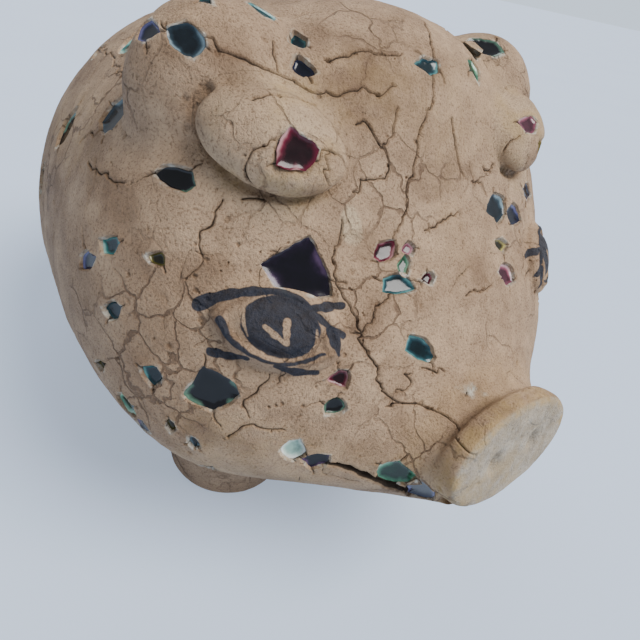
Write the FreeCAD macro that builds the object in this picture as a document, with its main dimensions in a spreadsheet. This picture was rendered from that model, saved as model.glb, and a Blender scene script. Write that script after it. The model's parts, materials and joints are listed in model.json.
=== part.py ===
import FreeCAD, Part

import math
import os

import Sketcher
from FreeCAD import Placement, Rotation, Vector

# A hand-built stoneware pig bank. The pig faces -Y, its right side is -X, +Z is up and it stands on z = 0.
# All lengths are millimetres and all angles degrees. One egg-shaped form runs from snout to rump. The clay is
# "wall" thick round a hollow that the head and the barrel share. The barrel is two press-moulded halves.

SIZES = {
    "wall": 6.5, "collar": -6,
    # the form's stations along Y: place, half width, height of the widest line, rise above it, sag below it
    "lip_y": -95, "lip_wide": 19.5, "lip_line": 49, "lip_rise": 12.5, "lip_sag": 15.5,
    "waist_y": -88, "waist_wide": 22, "waist_line": 46, "waist_rise": 12, "waist_sag": 19,
    "nose_y": -82, "nose_wide": 29, "nose_line": 44, "nose_rise": 16.5, "nose_sag": 19.5,
    "eyes_y": -72, "eyes_wide": 44, "eyes_line": 44, "eyes_rise": 30.5, "eyes_sag": 21.5,
    "cheek_y": -58, "cheek_wide": 59.5, "cheek_line": 44, "cheek_rise": 46, "cheek_sag": 28,
    "brow_y": -42, "brow_wide": 68, "brow_line": 49, "brow_rise": 65, "brow_sag": 37,
    "crown_y": -24, "crown_wide": 71, "crown_line": 52.5, "crown_rise": 69.5, "crown_sag": 40.5,
    "neck_y": -4, "neck_wide": 70.5, "neck_line": 52, "neck_rise": 69, "neck_sag": 40,
    "chest_y": 22, "chest_wide": 68.5, "chest_line": 50, "chest_rise": 67.5, "chest_sag": 38.5,
    "belly_y": 50, "belly_wide": 61.5, "belly_line": 52, "belly_rise": 58, "belly_sag": 38,
    "loin_y": 70, "loin_wide": 49, "loin_line": 54, "loin_rise": 45, "loin_sag": 33.5,
    "ham_y": 84, "ham_wide": 34.5, "ham_line": 57, "ham_rise": 31, "ham_sag": 25.5,
    "rump_y": 91.5, "rump_wide": 19.5, "rump_line": 60, "rump_rise": 17, "rump_sag": 15,
    "tip_y": 94, "tip_wide": 9, "tip_line": 61, "tip_rise": 7.5, "tip_sag": 7.5,
    # humps behind the ears
    "hump_x": 38, "hump_y": -25, "hump_z": 102, "hump_wide": 19, "hump_long": 15, "hump_tall": 18,
    # coin slot in the back and hole with its bung in the belly
    "slot_long": 38, "slot_wide": 5, "slot_y": 26, "slot_deep": 40,
    "bung_y": 16, "bung_top": 14.2, "bung_foot": 16.2, "bung_low": 4, "bung_tall": 20, "bung_gap": 0.1,
    "bung_chamfer": 1.2,
    # snout disc, its nostrils and the mouth below it
    "disc_wide": 20.3, "disc_tall": 12.2, "disc_thick": 5.5, "disc_y": -96.5, "disc_z": 50.3, "disc_tilt": 13,
    "disc_round": 1.6, "nostril_x": 7, "nostril_wide": 2.2, "nostril_tall": 3, "nostril_deep": 1.8,
    "mouth_y": -66, "mouth_z": 50.5, "mouth_wide": 39.5, "mouth_long": 29, "mouth_gap": 1.5, "mouth_tilt": 37,
    "mouth_deep": 2.9,
    # ears: flattened pads that lean on the brow
    "ear_long": 14, "ear_wide": 9.5, "ear_thick": 6.5, "ear_x": 37.4, "ear_y": -45.3, "ear_z": 100.8,
    "ear_left_in": 4, "ear_yaw": -33, "ear_pitch": 13, "ear_roll": 41,
    # eyes: a lens of clay in a socket, with a rim of clay round it
    "eye_long": 10.5, "eye_tall": 6.3, "eye_deep": 3.6, "eye_x": 42, "eye_y": -61.6, "eye_z": 72,
    "eye_yaw": -39, "eye_pitch": 10, "eye_roll": 56.5, "lid_long": 13, "lid_tall": 8.4, "lid_deep": 3,
    # feet
    "foot_bottom": 17.5, "foot_top": 19.5, "foot_tall": 32, "foot_round": 2.5,
    "fore_x": 34, "fore_y": -34, "hind_x": 33, "hind_y": 58,
    # tail: a flat curl on the rump with a root and a round end
    "tail_thick": 3.6, "tail_curl": 8, "tail_angle": 290, "tail_root": 12, "tail_y": 95.3, "tail_z": 66,
    # coloured glass set in the clay
    "chip_deep": 2.4, "chip_sunk": 0.5, "chip_clear": 5,
}

STATIONS = ("lip", "waist", "nose", "eyes", "cheek", "brow", "crown", "neck", "chest", "belly", "loin", "ham",
            "rump", "tip")

# Colour, station along Y, direction round the pig (0 is its left, 90 up, 180 its right), length, width and turn
# of each piece of glass that the maker placed on the head and shoulders.
PLACED_CHIPS = (
    ("turquoise", 14, 128, 12, 9, 60), ("black", -9, 122, 22, 12, 80), ("green", -22, 119, 5, 3, 70),
    ("teal", -29, 116, 6, 4, 40), ("teal", -33, 113, 4, 3, 25), ("navy", -38, 115, 4, 3, 65),
    ("navy", -26, 131, 6, 4, 75), ("slate", -33, 128, 6, 5, 75), ("teal", -28, 123, 3, 2, 45),
    ("slate", -14, 142, 11, 9, 70), ("black", -39, 141, 7, 4, -85), ("crimson", -53, 124, 7, 6, -85),
    ("turquoise", -34, 157, 6, 3, -65), ("amber", -44, 152, 3, 2, -80), ("navy", -29, 163, 6, 3, -60),
    ("teal", -40, 165, 5, 3, -50), ("violet", -58, 135, 12, 11, -85), ("amber", -38, 178, 4, 2, -55),
    ("teal", -51, 169, 4, 4, -80), ("black", -60, 165, 10, 8, -50), ("green", -46, 181, 5, 5, 0),
    ("violet", -49, 184, 5, 4, -10), ("amber", -56, 177, 3, 2, 10), ("slate", -60, 179, 3, 2, 10),
    ("violet", -60, 190, 6, 4, -10), ("white", -73, 174, 5, 5, 85), ("violet", -76, 177, 5, 4, -75),
    ("crimson", -61, 115, 5, 4, -45), ("rose", -62, 108, 3, 2, 85), ("teal", -66, 117, 7, 4, 85),
    ("green", -64, 112, 4, 3, -15), ("crimson", -67, 106, 3, 2, 80), ("teal", -75, 123, 8, 4, 55),
    ("black", -84, 104, 4, 3, 80), ("crimson", -72, 149, 4, 3, 90), ("black", -74, 157, 4, 3, -60),
    ("green", -86, 181, 8.5, 7, 55), ("navy", -90, 198, 8.5, 6, 20), ("slate", -31, 70, 10, 7, -85),
    ("green", -40, 75, 7, 4, -50), ("black", -30, 65, 9, 6, -85), ("teal", -26, 73, 6, 5, -85),
    ("slate", -18, 71, 9, 7, -60), ("green", -13, 62, 11, 6, 70), ("teal", -42, 90, 7, 3, 85),
    ("rose", -51, 63, 8, 4, -85), ("amber", -52, 54, 9, 4, 80), ("slate", -58, 66, 9, 6, 75),
    ("navy", -58, 55, 9, 5, 75), ("amber", -64, 65, 6, 3, 85), ("rose", -69, 63, 7, 5, 55),
    ("violet", -52, 45, 8, 4, 75), ("green", -67, 20, 9, 4, 70),
)
SCATTER_COLOURS = ("teal", "black", "amber", "turquoise", "navy", "crimson", "green", "violet", "slate", "rose")
SCATTER_TRIES = 120
SCATTER_GAP = 17

doc = FreeCAD.newDocument("pig_bank")
sheet = doc.addObject("Spreadsheet::Sheet", "Dims")
for row, (alias, value) in enumerate(SIZES.items(), start=1):
    sheet.set(f"A{row}", alias)
    sheet.set(f"B{row}", str(value))
    sheet.setAlias(f"B{row}", alias)
doc.recompute()


def size(alias):
    """A driving dimension as the sheet holds it."""
    return float(sheet.get(alias))


def bind(obj, **expressions):
    """Binds properties to the sheet. A property's path has two underscores for each dot."""
    for path, expression in expressions.items():
        words = ["Dims." + word if word in SIZES else word for word in str(expression).split(" ")]
        obj.setExpression(path.replace("__", "."), " ".join(words))
    return obj


def add(kind, name, **properties):
    obj = doc.addObject(kind, name)
    for key, value in properties.items():
        setattr(obj, key, value)
    return obj


def cut(name, base, tool):
    return add("Part::Cut", name, Base=base, Tool=tool)


def common(name, base, tool):
    return add("Part::Common", name, Base=base, Tool=tool)


def fuse(name, *shapes):
    return add("Part::MultiFuse", name, Shapes=list(shapes))


def ellipsoid(name, radii, centre, yaw=0, pitch=0, roll=0):
    """An ellipsoid with its half lengths along X, Y and Z before it is turned. Sizes are expressions."""
    obj = add("Part::Ellipsoid", name, Angle1=-90, Angle2=90)
    bind(obj, Radius2=radii[0], Radius3=radii[1], Radius1=radii[2])
    obj.Placement.Rotation = Rotation(yaw, pitch, roll)
    return bind(obj, Placement__Base__x=centre[0], Placement__Base__y=centre[1], Placement__Base__z=centre[2])


def block(name, sizes, corner):
    obj = add("Part::Box", name)
    bind(obj, Length=sizes[0], Width=sizes[1], Height=sizes[2])
    return bind(obj, Placement__Base__x=corner[0], Placement__Base__y=corner[1], Placement__Base__z=corner[2])


# ---------------------------------------------------------------- the egg-shaped form
def egg_sketch(name, station, inset, shift):
    """An egg across the pig: two half ellipses that share their widest line, moved in by inset."""
    half, rise, sag = (size(f"{station}_{part}") - inset for part in ("wide", "rise", "sag"))
    line = size(f"{station}_line")
    sketch = add("Sketcher::SketchObject", name)
    sketch.Placement = Placement(Vector(0, size(f"{station}_y") + shift, 0), Rotation(Vector(1, 0, 0), 90))
    bind(sketch, Placement__Base__y=f"{station}_y + {shift}")
    centre = Vector(0, line, 0)
    axes = []
    for reach, start in ((rise, 0), (sag, math.pi)):
        ellipse = Part.Ellipse(centre + Vector(half, 0, 0), centre + Vector(0, reach, 0), centre)
        arc = sketch.addGeometry(Part.ArcOfEllipse(ellipse, start, start + math.pi), False)
        axes.append((arc, reach))
    rows = []
    for arc, reach in axes:
        major = sketch.GeometryCount
        sketch.exposeInternalGeometry(arc)
        right = 1 if sketch.Geometry[major].StartPoint.x > sketch.Geometry[major].EndPoint.x else 2
        first = 1 if arc == 0 else 2
        sketch.addConstraint(Sketcher.Constraint("Coincident", arc, first, major, right))
        sketch.addConstraint(Sketcher.Constraint("Coincident", arc, 3 - first, major, 3 - right))
        sketch.addConstraint(Sketcher.Constraint("Horizontal", major))
        rows.append((major, reach))
    sketch.addConstraint(Sketcher.Constraint("Coincident", 0, 3, 1, 3))
    sketch.addConstraint(Sketcher.Constraint("PointOnObject", 0, 3, -2))
    (upper, _), (lower, _) = rows
    for label, constraint, expression in (
        ("width", Sketcher.Constraint("Distance", upper, 2 * half), f"2 * ( {station}_wide - {inset} )"),
        ("width_below", Sketcher.Constraint("Distance", lower, 2 * half), f"2 * ( {station}_wide - {inset} )"),
        ("rise", Sketcher.Constraint("Distance", upper + 1, 2 * rise), f"2 * ( {station}_rise - {inset} )"),
        ("sag", Sketcher.Constraint("Distance", lower + 1, 2 * sag), f"2 * ( {station}_sag - {inset} )"),
        ("line", Sketcher.Constraint("DistanceY", -1, 1, 0, 3, line), f"{station}_line"),
    ):
        sketch.renameConstraint(sketch.addConstraint(constraint), label)
        bind(sketch, **{"Constraints__" + label: expression})
    return sketch


def egg_loft(name, stations, inset=0, first_shift=0, last_shift=0):
    """The pig's form through its stations, or the same form with its skin moved in by inset."""
    sketches = []
    for station in stations:
        shift = first_shift if station == stations[0] else last_shift if station == stations[-1] else 0
        sketches.append(egg_sketch(f"{name}_{station}", station, inset, shift))
    return add("Part::Loft", name, Sections=sketches, Solid=True, Ruled=False)


form = egg_loft("form", STATIONS)
hollow = egg_loft("hollow", STATIONS[2:13], inset=size("wall"), first_shift=4, last_shift=-4)
inner_form = egg_loft("inner_form", STATIONS[:8], inset=size("mouth_deep"))
humps = [ellipsoid(f"hump_{side}", ("hump_wide", "hump_long", "hump_tall"), (f"{sign} * hump_x", "hump_y", "hump_z"))
         for side, sign in (("right", -1), ("left", 1))]
outer = fuse("outer_form", form, *humps)
doc.recompute()

# ---------------------------------------------------------------- snout, mouth, ears and eyes
disc = add("PartDesign::Body", "snout_disc")
disc_sketch = disc.newObject("Sketcher::SketchObject", "snout_disc_outline")
plane = next(o for o in disc.Origin.OriginFeatures if o.Role == "XZ_Plane")
disc_sketch.AttachmentSupport = [(plane, "")]
disc_sketch.MapMode = "FlatFace"
disc_sketch.addGeometry(Part.Ellipse(Vector(size("disc_wide"), 0, 0), Vector(0, size("disc_tall"), 0), Vector()))
disc_sketch.exposeInternalGeometry(0)
disc_sketch.addConstraint(Sketcher.Constraint("Coincident", 0, 3, -1, 1))
disc_sketch.addConstraint(Sketcher.Constraint("Horizontal", 1))
for label, line, half in (("width", 1, "disc_wide"), ("height", 2, "disc_tall")):
    index = disc_sketch.addConstraint(Sketcher.Constraint("Distance", line, 2 * size(half)))
    disc_sketch.renameConstraint(index, label)
    bind(disc_sketch, **{"Constraints__" + label: f"2 * {half}"})
disc_pad = bind(disc.newObject("PartDesign::Pad", "snout_disc_pad"), Length="disc_thick")
disc_pad.Profile = disc_sketch
disc_pad.Reversed = True
doc.recompute()
front_face = min(range(len(disc_pad.Shape.Faces)), key=lambda i: disc_pad.Shape.Faces[i].CenterOfMass.y)
disc_fillet = bind(disc.newObject("PartDesign::Fillet", "snout_disc_edge"), Radius="disc_round")
disc_fillet.Base = (disc_pad, [f"Face{front_face + 1}"])
disc.Placement.Rotation = Rotation(Vector(1, 0, 0), -size("disc_tilt"))
bind(disc, Placement__Base__y="disc_y", Placement__Base__z="disc_z")
doc.recompute()

nostrils = [ellipsoid(f"nostril_{side}", ("nostril_wide", "nostril_deep", "nostril_tall"),
                      (f"{sign} * nostril_x", "disc_y", "disc_z"), roll=-size("disc_tilt"))
            for side, sign in (("right", -1), ("left", 1))]
snout_disc = cut("snout_disc_finished", disc, fuse("nostrils", *nostrils))

snout_space = block("snout_space", ("80", "20", "28"), ("-40", "disc_y - 20 + 3.5", "disc_z - disc_tall"))
mouth_slice = ellipsoid("mouth_slice", ("mouth_wide", "mouth_long", "mouth_gap"), ("0", "mouth_y", "mouth_z"),
                        roll=size("mouth_tilt"))
mouth = cut("mouth_groove", mouth_slice, inner_form)

SIDES = (("right", -1), ("left", 1))
ears, eyeballs, lids = {}, {}, {}
for side, sign in SIDES:
    ear_turn = (-sign * size("ear_yaw"), -sign * size("ear_pitch"), size("ear_roll"))
    ear_x = "-1 * ear_x" if side == "right" else "ear_x - ear_left_in"
    pad = ellipsoid(f"ear_{side}_pad", ("ear_long", "ear_wide", "ear_thick"), (ear_x, "ear_y", "ear_z"), *ear_turn)
    ears[side] = cut(f"ear_{side}_on_brow", pad, outer)
    eye_turn = (-sign * size("eye_yaw"), -sign * size("eye_pitch"), size("eye_roll"))
    at = (f"{sign} * eye_x", "eye_y", "eye_z")
    eyeballs[side] = ellipsoid(f"eyeball_{side}_lens", ("eye_long", "eye_tall", "eye_deep"), at, *eye_turn)
    rim = ellipsoid(f"eyelids_{side}_rim", ("lid_long", "lid_tall", "lid_deep"), at, *eye_turn)
    lids[side] = cut(f"eyelids_{side}_on_cheek", rim, fuse(f"eyelids_{side}_tools", outer, eyeballs[side]))


# ---------------------------------------------------------------- bung, feet and tail
def cone(name, low_radius, top_radius, tall, x, y, z):
    obj = add("Part::Cone", name)
    bind(obj, Radius1=low_radius, Radius2=top_radius, Height=tall)
    return bind(obj, Placement__Base__x=x, Placement__Base__y=y, Placement__Base__z=z)


def soften(name, base, radius, chamfer=False):
    """Rounds or chamfers the circles at the two ends of a turned piece whose sizes are in radius, low and high."""
    obj = add("Part::Chamfer" if chamfer else "Part::Fillet", name, Base=base)
    doc.recompute()
    rows = []
    for number, edge in enumerate(base.Shape.Edges, start=1):
        for place, reach in zip((base.Shape.BoundBox.ZMin, base.Shape.BoundBox.ZMax), radius):
            flat = abs(edge.BoundBox.ZMin - place) < 1e-4 and abs(edge.BoundBox.ZMax - place) < 1e-4
            if flat and reach:
                rows.append((number, reach, reach))
    obj.Edges = rows
    return obj


bung_place = ("0", "bung_y", "bung_low")
chamfer = size("bung_chamfer")
bung = soften("stopper_chamfered", cone("stopper_blank", "bung_foot", "bung_top", "bung_tall", *bung_place),
              (chamfer, chamfer), chamfer=True)
bung_hole = cone("stopper_hole", "bung_foot + bung_gap", "bung_top + bung_gap", "bung_tall", *bung_place)

FEET = {f"foot_{end}_{side}": (f"{sign} * {place}_x", f"{place}_y")
        for end, place in (("front", "fore"), ("hind", "hind")) for side, sign in SIDES}
feet = {}
for name, (x, y) in FEET.items():
    stub = cone(name + "_stub", "foot_bottom", "foot_top", "foot_tall", x, y, "0")
    feet[name] = cut(name + "_under_belly", soften(name + "_rounded", stub, (size("foot_round"), 0)), outer)

curl = add("Part::Torus", "tail_curl_ring")
bind(curl, Radius1="tail_curl", Radius2="tail_thick", Angle3="tail_angle")
curl.Placement.Rotation = Rotation(Vector(1, 0, 0), 90)
bind(curl, Placement__Base__y="tail_y", Placement__Base__z="tail_z")
root = add("Part::Cylinder", "tail_root_stem")
bind(root, Radius="tail_thick", Height="tail_root")
root.Placement.Rotation = Rotation(Vector(1, 0, 0), 90)
bind(root, Placement__Base__x="tail_curl", Placement__Base__y="tail_y", Placement__Base__z="tail_z")
root_knuckle = add("Part::Sphere", "tail_root_knuckle")
bind(root_knuckle, Radius="tail_thick", Placement__Base__x="tail_curl", Placement__Base__y="tail_y",
     Placement__Base__z="tail_z")
curl_end = add("Part::Sphere", "tail_end")
bind(curl_end, Radius="tail_thick", Placement__Base__x="tail_curl * cos( tail_angle )",
     Placement__Base__y="tail_y", Placement__Base__z="tail_z + tail_curl * sin( tail_angle )")
tail = cut("tail_on_rump", fuse("tail_whole", curl, root, root_knuckle, curl_end), outer)

# ---------------------------------------------------------------- shells
slot = block("slot_cutter", ("slot_wide", "slot_long", "slot_deep"),
             ("-1 * slot_wide / 2", "slot_y - slot_long / 2", "chest_line + chest_rise - slot_deep / 2"))
front = block("front_of_collar", ("200", "150", "200"), ("-100", "collar - 150", "-20"))
behind = {side: block(f"behind_collar_{side}", ("100", "150", "200"), (f"{min(sign, 0) * 100}", "collar", "-20"))
          for side, sign in SIDES}
head_tools = fuse("head_tools", hollow, disc, snout_space, mouth, *eyeballs.values())
barrel_tools = fuse("barrel_tools", hollow, slot, bung_hole)
hosts = {"head_shell": cut("head_hollowed", common("head_solid", outer, front), head_tools)}
for side, _ in SIDES:
    half = common(f"barrel_solid_{side}", outer, behind[side])
    hosts[f"body_{side}_half"] = cut(f"barrel_hollowed_{side}", half, barrel_tools)
hosts.update({f"ear_{side}": ears[side] for side, _ in SIDES})
hosts.update(feet)
doc.recompute()

# ---------------------------------------------------------------- glass chips
whole = outer.Shape.fuse([ears[side].Shape for side, _ in SIDES] + [foot.Shape for foot in feet.values()])


def axis_height(station):
    """The height of the form's widest line at a place along Y."""
    rows = [(size(f"{name}_y"), size(f"{name}_line")) for name in STATIONS]
    for (y0, z0), (y1, z1) in zip(rows, rows[1:]):
        if y0 <= station <= y1:
            return z0 + (z1 - z0) * (station - y0) / (y1 - y0)
    return rows[-1][1]


def surface_point(station, direction):
    """Where a line from the form's middle meets its skin, and the skin's normal there."""
    start = Vector(0, station, axis_height(station))
    angle = math.radians(direction)
    ray = Part.makeLine(start, start + Vector(150 * math.cos(angle), 0, 150 * math.sin(angle)))
    inside = whole.common(ray)
    point = max((v.Point for v in inside.Vertexes), key=lambda p: p.distanceToPoint(start))
    _, _, info = whole.distToShape(Part.Vertex(point))
    normal = None
    for kind, number, place, *_ in info:
        if kind == "Face":
            normal = whole.Faces[number].normalAt(*place)
    return point, normal


def chip_outline(number, length, width, turn, point, normal, lift):
    """An uneven polygon in the skin's plane, lifted along its normal."""
    up = Vector(0, 0, 1) - normal * normal.z
    up.normalize()
    across = normal.cross(up)
    corners = 5 + number % 3
    spin = math.radians(turn)
    points = []
    for k in range(corners):
        angle = 2 * math.pi * k / corners + 0.35 * math.sin(2.3 * number + 1.7 * k)
        reach = 0.5 * (1 + 0.16 * math.sin(1.9 * number + 2.9 * k))
        a = length * reach * math.cos(angle)
        b = width * reach * math.sin(angle)
        points.append(point + up * (a * math.cos(spin) - b * math.sin(spin))
                      + across * (a * math.sin(spin) + b * math.cos(spin)) + normal * lift)
    return Part.Face(Part.makePolygon(points + points[:1]))


def scattered_chips(taken):
    """Chips on the sides that the maker filled by eye: an even spiral that keeps off what is already there."""
    keep_off = [(Vector(0, size("slot_y"), 118), 30), (Vector(0, size("bung_y"), 11), 30)]
    keep_off += [(Vector(sign * size("eye_x"), size("eye_y"), size("eye_z")), 22) for _, sign in SIDES]
    keep_off += [(Vector(0, size("tail_y"), size("tail_z")), 20), (Vector(0, size("disc_y"), size("disc_z")), 26)]
    keep_off += [(Vector(-38, -62, 60), 56)]
    rows = []
    points = list(taken)
    for k in range(SCATTER_TRIES):
        station = -70 + 155 * (k * 0.7548777 % 1)
        direction = 360 * (k * 0.5698403 % 1)
        if abs(station - size("collar")) < 9 or min(abs(direction - 90), abs(direction - 270)) < 9:
            continue
        point, normal = surface_point(station, direction)
        if normal is None or point.z < 16:
            continue
        near_feet = any(f.Shape.distToShape(Part.Vertex(point))[0] < 7 for f in feet.values())
        if near_feet or any(point.distanceToPoint(centre) < reach for centre, reach in keep_off):
            continue
        if any(point.distanceToPoint(other) < SCATTER_GAP for other in points):
            continue
        points.append(point)
        length = 6 + 4.5 * math.sin(1.3 * k) ** 2
        rows.append((SCATTER_COLOURS[len(rows) % len(SCATTER_COLOURS)], station, direction, length,
                     length * (0.62 + 0.2 * math.cos(2.1 * k)), 47 * k % 180 - 90, point, normal))
    return rows


placed = [(*row, *surface_point(row[1], row[2])) for row in PLACED_CHIPS]
chips = placed + scattered_chips([row[6] for row in placed])
colours = {}
pockets = []
for number, (colour, station, direction, length, width, turn, point, normal) in enumerate(chips):
    if normal is None:
        raise RuntimeError(f"chip {number} has no normal")
    outline = chip_outline(number, length, width, turn, point, normal, -size("chip_deep"))
    colours.setdefault(colour, []).append(outline.extrude(normal * (size("chip_deep") - size("chip_sunk"))))
    pockets.append(outline.extrude(normal * (size("chip_deep") + size("chip_clear"))))

pocket_tools = add("Part::Feature", "pocket_tools", Shape=Part.makeCompound(pockets))
subparts = {"snout_disc": snout_disc, "tail": tail, "stopper": bung}
subparts.update({f"eyeball_{side}": eyeballs[side] for side, _ in SIDES})
subparts.update({f"eyelids_{side}": lids[side] for side, _ in SIDES})
for name, host in hosts.items():
    subparts[name] = cut(name + "_pocketed", host, pocket_tools)
for colour, solids in colours.items():
    subparts[f"chips_{colour}"] = add("Part::Feature", f"chips_{colour}_set", Shape=Part.makeCompound(solids))
doc.recompute()

# ---------------------------------------------------------------- writing
broken = [o.Name for o in doc.Objects if "Invalid" in o.State or "Error" in o.State]
if broken:
    raise RuntimeError(f"failed objects: {broken}")
os.makedirs("parts", exist_ok=True)
for name, obj in subparts.items():
    obj.Label = name
    if obj.Shape.isNull() or not obj.Shape.isValid():
        raise RuntimeError(f"{name} is not a valid shape")
    print(name, round(obj.Shape.Volume), "mm3,", len(obj.Shape.Solids), "solid(s)")
    obj.Shape.exportStep(f"parts/{name}.step")
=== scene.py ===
import json
import math
import random

import bmesh
import bpy
import numpy as np
from mathutils import Matrix, Vector
from mathutils.bvhtree import BVHTree
from mathutils.kdtree import KDTree


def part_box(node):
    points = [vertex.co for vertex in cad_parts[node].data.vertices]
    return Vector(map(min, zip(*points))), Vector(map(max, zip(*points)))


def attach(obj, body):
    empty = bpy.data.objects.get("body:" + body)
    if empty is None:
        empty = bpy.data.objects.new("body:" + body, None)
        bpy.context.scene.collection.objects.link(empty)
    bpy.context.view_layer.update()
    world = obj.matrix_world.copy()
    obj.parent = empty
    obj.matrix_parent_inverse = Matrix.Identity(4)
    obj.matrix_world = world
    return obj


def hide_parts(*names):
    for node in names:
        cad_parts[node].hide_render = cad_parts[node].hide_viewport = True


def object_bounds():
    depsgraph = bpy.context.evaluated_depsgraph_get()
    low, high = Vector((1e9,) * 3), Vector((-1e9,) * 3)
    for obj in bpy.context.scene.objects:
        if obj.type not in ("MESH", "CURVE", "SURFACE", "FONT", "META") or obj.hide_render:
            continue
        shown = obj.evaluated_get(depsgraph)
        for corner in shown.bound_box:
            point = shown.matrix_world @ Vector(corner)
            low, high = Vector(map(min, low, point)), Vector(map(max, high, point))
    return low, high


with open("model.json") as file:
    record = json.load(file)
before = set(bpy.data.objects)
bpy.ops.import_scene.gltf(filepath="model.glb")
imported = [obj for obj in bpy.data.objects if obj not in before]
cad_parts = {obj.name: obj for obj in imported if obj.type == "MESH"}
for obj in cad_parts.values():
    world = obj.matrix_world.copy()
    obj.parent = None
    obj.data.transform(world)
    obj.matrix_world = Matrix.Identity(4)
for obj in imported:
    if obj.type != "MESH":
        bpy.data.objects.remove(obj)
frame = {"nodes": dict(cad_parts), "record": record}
cad_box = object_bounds()

# The pig faces -Y, its right side is -X. Lengths are in millimetres where a name or comment says so, and
# MM turns them into the frame's metres.
MM = 0.001
PIG = "pig"
NODES = frame["nodes"]
SIDES = (("right", -1), ("left", 1))
SHELLS = ["head_shell", "body_right_half", "body_left_half"]
EARS = [f"ear_{side}" for side, _ in SIDES]
FEET = [f"foot_{end}_{side}" for end in ("front", "hind") for side, _ in SIDES]
EYES = [f"{part}_{side}" for part in ("eyeball", "eyelids") for side, _ in SIDES]
GLASS = sorted(name for name in NODES if name.startswith("chips_"))
CLAY = SHELLS + EARS + FEET + EYES + ["tail", "snout_disc"]
SMALL_CLAY = EYES + ["snout_disc"] + EARS + FEET + ["tail"]
# places in millimetres
AXIS_HEIGHT = 50
MIDDLE = Vector((0, 5, 60))
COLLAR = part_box("head_shell")[1][1]
SNOUT_MIDDLE = np.array([0, -92, 50])
SNOUT_FRONT = np.array([0, -94, 50])
DISC_TILT = math.radians(13)
DISC_FRONT = np.array([0, -math.cos(DISC_TILT), math.sin(DISC_TILT)])

# size of the skin's mesh, a distance that stands for far away, and the spacing of crack points, in millimetres
VOXEL = 0.5
FAR = 9.0
CRACK_SPACING = 0.12
# cell of the grid that finds neighbouring seeds, in millimetres, and the share of the net's edges that shows
GRID_CELL = 14
NET_SHARE = 0.24
# what one degree round the pig counts for against one millimetre along it, in the cracks' curves
DEGREE = 0.9
# how much wider the pools of glass are than their CAD prisms
GLASS_SPREAD = 1.08
random.seed(7)
rng = np.random.default_rng(7)


# ------------------------------------------------------------------ mesh helpers
def new_object(name, mesh):
    obj = bpy.data.objects.new(name, mesh)
    bpy.context.scene.collection.objects.link(obj)
    return obj


def object_from(name, bm):
    mesh = bpy.data.meshes.new(name)
    bm.to_mesh(mesh)
    bm.free()
    return new_object(name, mesh)


def remove(*objects):
    for obj in objects:
        bpy.data.objects.remove(obj)


def joined(names):
    """A bmesh with copies of CAD nodes, with the corners that their faces share made one."""
    bm = bmesh.new()
    for name in names:
        bm.from_mesh(NODES[name].data)
    bmesh.ops.remove_doubles(bm, verts=bm.verts, dist=1e-7)
    return bm


def bake_modifiers(obj):
    made = bpy.data.meshes.new_from_object(obj.evaluated_get(bpy.context.evaluated_depsgraph_get()))
    obj.modifiers.clear()
    obj.data = made
    return obj


def remesh(obj, voxel):
    modifier = obj.modifiers.new("remesh", "REMESH")
    modifier.mode = "VOXEL"
    modifier.voxel_size = voxel * MM
    return bake_modifiers(obj)


def boolean(obj, tool, operation):
    modifier = obj.modifiers.new("cut", "BOOLEAN")
    modifier.solver = "MANIFOLD"
    modifier.operation = operation
    modifier.object = tool
    return bake_modifiers(obj)


def duplicate(obj, name):
    return new_object(name, obj.data.copy())


def points_of(mesh):
    out = np.empty(len(mesh.vertices) * 3)
    mesh.vertices.foreach_get("co", out)
    return out.reshape(-1, 3)


def normals_of(mesh):
    out = np.empty(len(mesh.vertices) * 3, np.float32)
    mesh.vertex_normals.foreach_get("vector", out)
    return out.reshape(-1, 3).astype(float)


def set_points(mesh, points):
    mesh.vertices.foreach_set("co", np.ascontiguousarray(points, np.float32).ravel())
    mesh.update()


def set_attribute(mesh, name, values):
    attribute = mesh.attributes.get(name) or mesh.attributes.new(name, "FLOAT", "POINT")
    attribute.data.foreach_set("value", np.ascontiguousarray(values, np.float32))


def smooth(obj, rounds, weights=None):
    modifier = obj.modifiers.new("smooth", "SMOOTH")
    modifier.factor = 0.5
    modifier.iterations = rounds
    if weights is not None:
        group = obj.vertex_groups.new(name="blend")
        levels = np.round(weights * 10).astype(int)
        for level in range(1, 11):
            group.add(np.nonzero(levels == level)[0].tolist(), level / 10, "REPLACE")
        modifier.vertex_group = "blend"
    bake_modifiers(obj)
    obj.vertex_groups.clear()
    return obj


def step(values, low, high):
    """0 below low, 1 above high, and smooth between them."""
    t = np.clip((values - low) / (high - low), 0, 1)
    return t * t * (3 - 2 * t)


def mixed_up(index):
    """A number from 0 to 1 for each index, far from its neighbours' numbers."""
    return (index * 7919) % 100 / 100


LATTICE = rng.random((32, 32, 32))


def grain(points, size):
    """Smooth noise from 0 to 1 whose lumps are about size across, in the points' own units."""
    p = points / size + 100
    cell = np.floor(p).astype(int)
    t = p - cell
    t = t * t * (3 - 2 * t)
    total = 0
    for corner in np.ndindex(2, 2, 2):
        weight = np.prod(np.where(corner, t, 1 - t), axis=1)
        i, j, k = ((cell + corner) % 32).T
        total = total + weight * LATTICE[i, j, k]
    return total


def kd_of(points):
    tree = KDTree(len(points))
    for index, point in enumerate(points):
        tree.insert(point, index)
    tree.balance()
    return tree


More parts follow.
